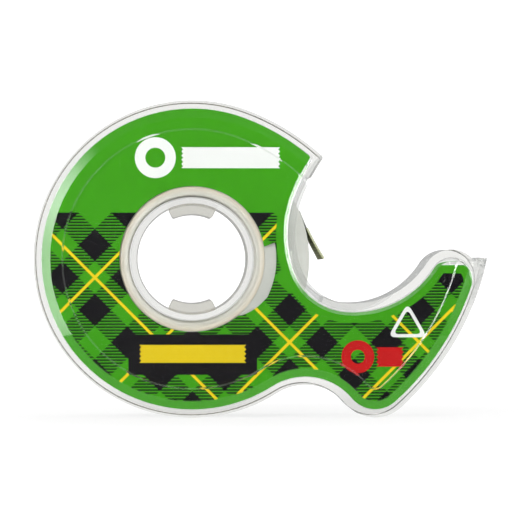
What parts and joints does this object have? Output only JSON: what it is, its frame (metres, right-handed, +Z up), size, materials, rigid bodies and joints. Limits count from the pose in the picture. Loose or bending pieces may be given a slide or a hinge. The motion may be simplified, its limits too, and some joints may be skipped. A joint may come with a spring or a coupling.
{
  "type": "tape dispenser",
  "caption": "Hand-held tape dispenser: a clear snail-shaped case with printed labels, a turning roll of tape, a curved mouth, and a toothed cutter at the end of a short arm.",
  "frame": {"origin": "bottom centre of the whole object, on the surface it stands on", "axes": "+X towards the cutter, +Y from the front label to the back, +Z up"},
  "size_m": [0.091, 0.0236, 0.0636],
  "materials": {
    "clear_case": "clear gloss",
    "printed_label": "printed satin",
    "core_plastic": "satin",
    "tape_film": "frosted",
    "tab_paper": "matte"
  },
  "bodies": {
    "case": {"rear_case": "clear_case", "front_cover": "clear_case", "front_label": "printed_label", "rear_label": "printed_label"},
    "roll": {"tape_core": "core_plastic", "tape_roll": "tape_film"},
    "tape_end": {"tape_end": "tape_film", "pull_tab": "tab_paper"}
  },
  "joints": [
    {"name": "roll_spin", "type": "hinge", "parent": "case", "child": "roll", "pos_m": [-0.01373, 0.0003, 0.0318], "axis": [0, 1, 0], "continuous": true},
    {"name": "tape_end_lift", "type": "hinge", "parent": "roll", "child": "tape_end", "pos_m": [0.00796, 0.0003, 0.04159], "axis": [0, -1, 0], "range_deg": [0, 12], "stiffness_Nm_per_rad": 0.0003}
  ]
}
